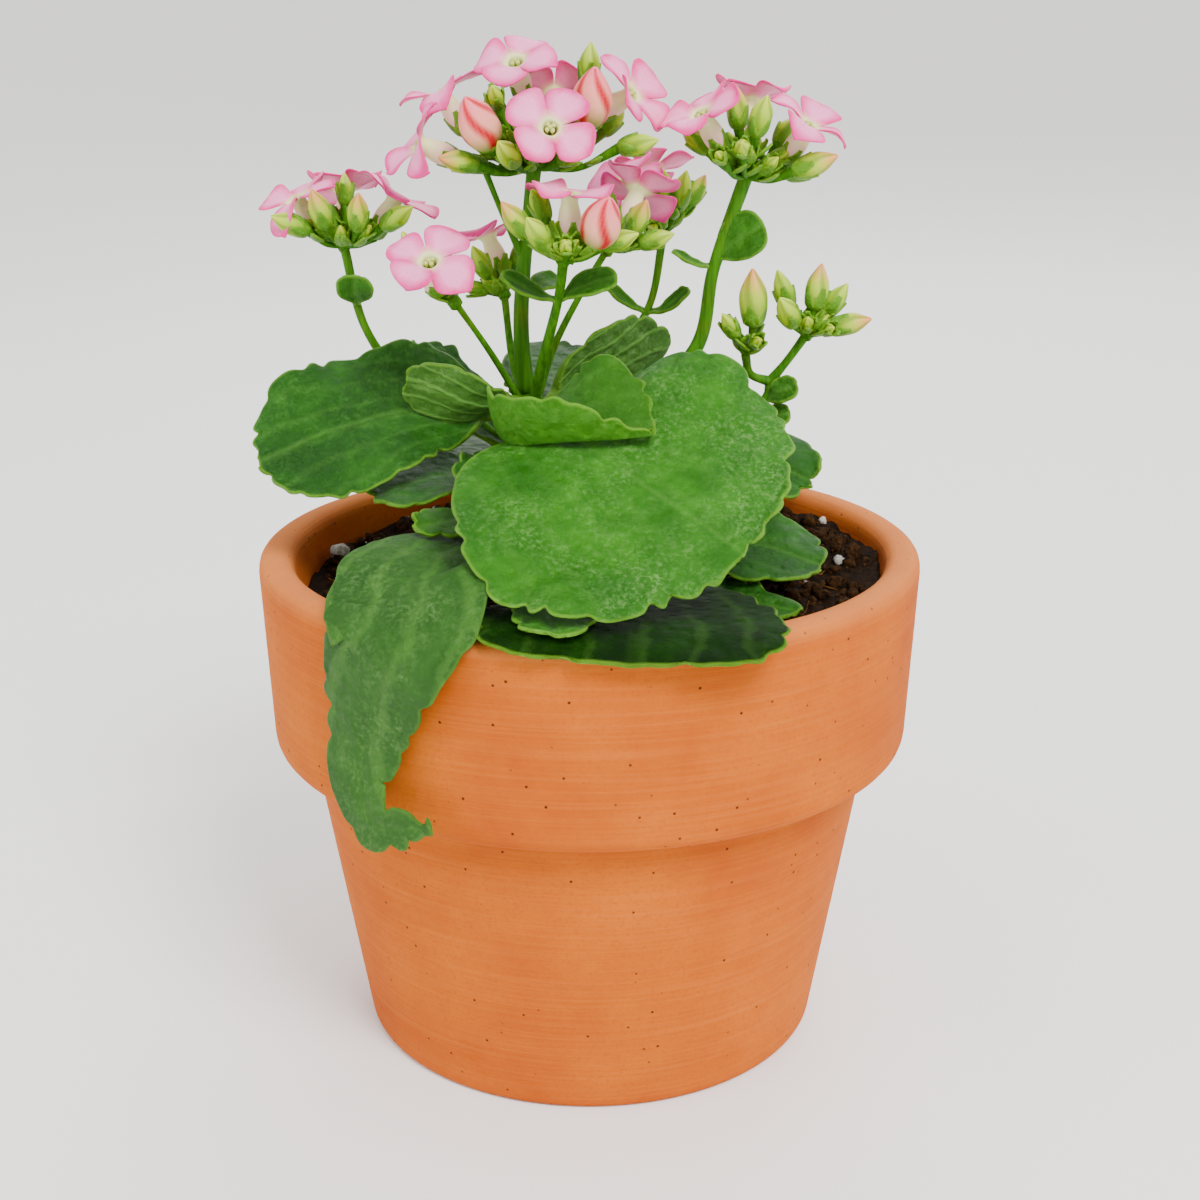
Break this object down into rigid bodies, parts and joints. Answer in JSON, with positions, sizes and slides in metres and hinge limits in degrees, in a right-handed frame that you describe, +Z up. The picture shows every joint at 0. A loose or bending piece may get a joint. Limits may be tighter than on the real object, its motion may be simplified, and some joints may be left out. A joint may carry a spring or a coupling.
{
  "type": "potted kalanchoe plant",
  "caption": "Flowering kalanchoe with broad scalloped leaves, some hanging over the rim, and heads of small pink flowers and buds, in a tapered terracotta pot with a drain hole.",
  "frame": {"origin": "on the pot's axis, at the surface that the pot stands on", "axes": "+Z up along the pot's axis, -Y towards the plant's best side, where the broad leaf covers the rim"},
  "size_m": [0.114, 0.1236, 0.1714],
  "materials": {
    "pot": "unglazed terracotta, matt",
    "soil": "damp potting soil",
    "stem": "smooth green succulent stem",
    "leaf": "satin succulent leaf",
    "bud": "smooth green bud",
    "petal": "soft pale pink petal"
  },
  "bodies": {
    "root": {"main_stem": "stem", "stalk_top": "stem", "stalk_front": "stem", "stalk_inner": "stem", "stalk_rear": "stem", "stalk_right": "stem", "stalk_low_right": "stem", "stalk_left": "stem", "stalk_front_left": "stem", "stalk_rear_left": "stem", "leaf_left": "leaf", "leaf_left_rear": "leaf", "leaf_back_left": "leaf", "leaf_front_folded": "leaf", "leaf_front_large": "leaf", "leaf_over_left_rim": "leaf", "leaf_over_front_rim": "leaf", "leaf_front_small": "leaf", "leaf_right_low": "leaf", "leaf_right_small": "leaf", "leaf_right_rear": "leaf", "leaf_back_right": "leaf", "leaf_right_inner": "leaf", "leaf_center_low": "leaf", "leaf_left_low": "leaf", "leaf_left_small": "leaf", "leaf_back_over_rim": "leaf", "leaf_back_low_left": "leaf", "leaf_back_low_right": "leaf", "leaf_right": "leaf", "truss_top": "bud", "flower_top_1": "petal", "flower_top_2": "petal", "flower_top_3": "petal", "flower_top_4": "petal", "flower_top_5": "petal", "flower_top_6": "petal", "truss_front": "bud", "flower_front_1": "petal", "truss_inner": "bud", "flower_inner_1": "petal", "truss_right": "bud", "flower_right_1": "petal", "flower_right_2": "petal", "flower_right_3": "petal", "truss_rear": "bud", "flower_rear_1": "petal", "flower_rear_2": "petal", "truss_low_right": "bud", "truss_left": "bud", "flower_left_1": "petal", "flower_left_2": "petal", "flower_left_3": "petal", "truss_rear_left": "bud", "flower_rear_left_1": "petal", "truss_front_left": "bud", "flower_front_left_1": "petal", "pot": "pot", "soil": "soil"}
  },
  "joints": []
}
